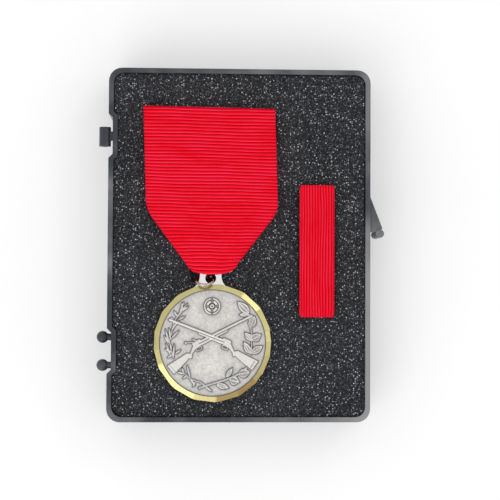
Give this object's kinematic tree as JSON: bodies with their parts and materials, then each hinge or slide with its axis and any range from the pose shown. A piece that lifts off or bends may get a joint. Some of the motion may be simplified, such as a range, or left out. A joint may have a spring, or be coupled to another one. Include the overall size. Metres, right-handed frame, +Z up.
{
  "type": "boxed service medal",
  "caption": "Open presentation case with a foam bed holding a round medal on a folded ribbon drape with pin brooch, and a ribbon bar on clutch posts.",
  "frame": {"origin": "centre of the case tray's underside", "axes": "+X across the tray towards the ribbon bar, +Y along the tray towards the top of the ribbon, +Z up out of the tray"},
  "size_m": [0.0761, 0.0936, 0.0191],
  "materials": {
    "black_plastic": "moulded black polystyrene, slightly glossy",
    "dark_foam": "dark flocked foam with pale flecks",
    "red_grosgrain": "ribbed red ribbon",
    "pale_card": "stiff card",
    "red_tape": "narrow woven tape",
    "bright_wire": "polished round wire",
    "silver_plate": "satin silver plate with a gold cut rim",
    "nickel_plate": "nickel plate",
    "pin_steel": "bright steel wire",
    "clutch_brass": "pressed brass"
  },
  "bodies": {
    "case": {"case_tray": "black_plastic", "foam_insert": "dark_foam"},
    "drape": {"ribbon_drape": "red_grosgrain", "drape_stiffener": "pale_card", "hanger_tape": "red_tape", "brooch_plate": "nickel_plate", "pin_rivet": "pin_steel"},
    "ring": {"suspension_ring": "bright_wire"},
    "medal": {"medal_disc": "silver_plate"},
    "pin": {"brooch_pin": "pin_steel"},
    "catch": {"catch_sleeve": "nickel_plate"},
    "ribbon_bar": {"bar_ribbon": "red_grosgrain", "bar_plate": "nickel_plate", "upper_clutch_post": "pin_steel", "lower_clutch_post": "pin_steel"},
    "upper_clutch": {"upper_clutch_base": "clutch_brass"},
    "upper_clutch_right_wing": {"upper_clutch_right_wing": "clutch_brass"},
    "upper_clutch_left_wing": {"upper_clutch_left_wing": "clutch_brass"},
    "lower_clutch": {"lower_clutch_base": "clutch_brass"},
    "lower_clutch_right_wing": {"lower_clutch_right_wing": "clutch_brass"},
    "lower_clutch_left_wing": {"lower_clutch_left_wing": "clutch_brass"}
  },
  "joints": [
    {"name": "medal_lift", "type": "slide", "parent": "case", "child": "drape", "axis": [0, 0, 1], "range_m": [0, 0.03]},
    {"name": "ring_swing", "type": "hinge", "parent": "drape", "child": "ring", "pos_m": [-0.00925, -0.0079, 0.01519], "axis": [-1, 0, 0], "range_deg": [0, 22]},
    {"name": "medal_sway", "type": "hinge", "parent": "ring", "child": "medal", "pos_m": [-0.0076, -0.0089, 0.0168], "axis": [0, 0, 1], "range_deg": [-4, 20]},
    {"name": "pin_swing", "type": "hinge", "parent": "drape", "child": "pin", "pos_m": [0.0062, 0.0305, 0.013], "axis": [0, -1, 0], "range_deg": [0, 22]},
    {"name": "catch_turn", "type": "hinge", "parent": "drape", "child": "catch", "pos_m": [-0.0185, 0.0305, 0.013], "axis": [-1, 0, 0], "range_deg": [0, 100]},
    {"name": "bar_lift", "type": "slide", "parent": "case", "child": "ribbon_bar", "axis": [0, 0, 1], "range_m": [0, 0.025]},
    {"name": "upper_clutch_slide", "type": "slide", "parent": "ribbon_bar", "child": "upper_clutch", "axis": [0, 0, -1], "range_m": [0, 0.0072]},
    {"name": "upper_clutch_right_squeeze", "type": "hinge", "parent": "upper_clutch", "child": "upper_clutch_right_wing", "pos_m": [0.0229, 0.0081, 0.0117], "axis": [0, 1, 0], "range_deg": [0, 12]},
    {"name": "upper_clutch_left_squeeze", "type": "hinge", "parent": "upper_clutch", "child": "upper_clutch_left_wing", "pos_m": [0.0181, 0.0081, 0.0117], "axis": [0, -1, 0], "range_deg": [0, 12]},
    {"name": "lower_clutch_slide", "type": "slide", "parent": "ribbon_bar", "child": "lower_clutch", "axis": [0, 0, -1], "range_m": [0, 0.0072]},
    {"name": "lower_clutch_right_squeeze", "type": "hinge", "parent": "lower_clutch", "child": "lower_clutch_right_wing", "pos_m": [0.0229, -0.0109, 0.0117], "axis": [0, 1, 0], "range_deg": [0, 12]},
    {"name": "lower_clutch_left_squeeze", "type": "hinge", "parent": "lower_clutch", "child": "lower_clutch_left_wing", "pos_m": [0.0181, -0.0109, 0.0117], "axis": [0, -1, 0], "range_deg": [0, 12]}
  ],
  "couplings": [
    {"joint": "upper_clutch_left_squeeze", "follows": "upper_clutch_right_squeeze", "ratio": 1},
    {"joint": "lower_clutch_left_squeeze", "follows": "lower_clutch_right_squeeze", "ratio": 1}
  ]
}
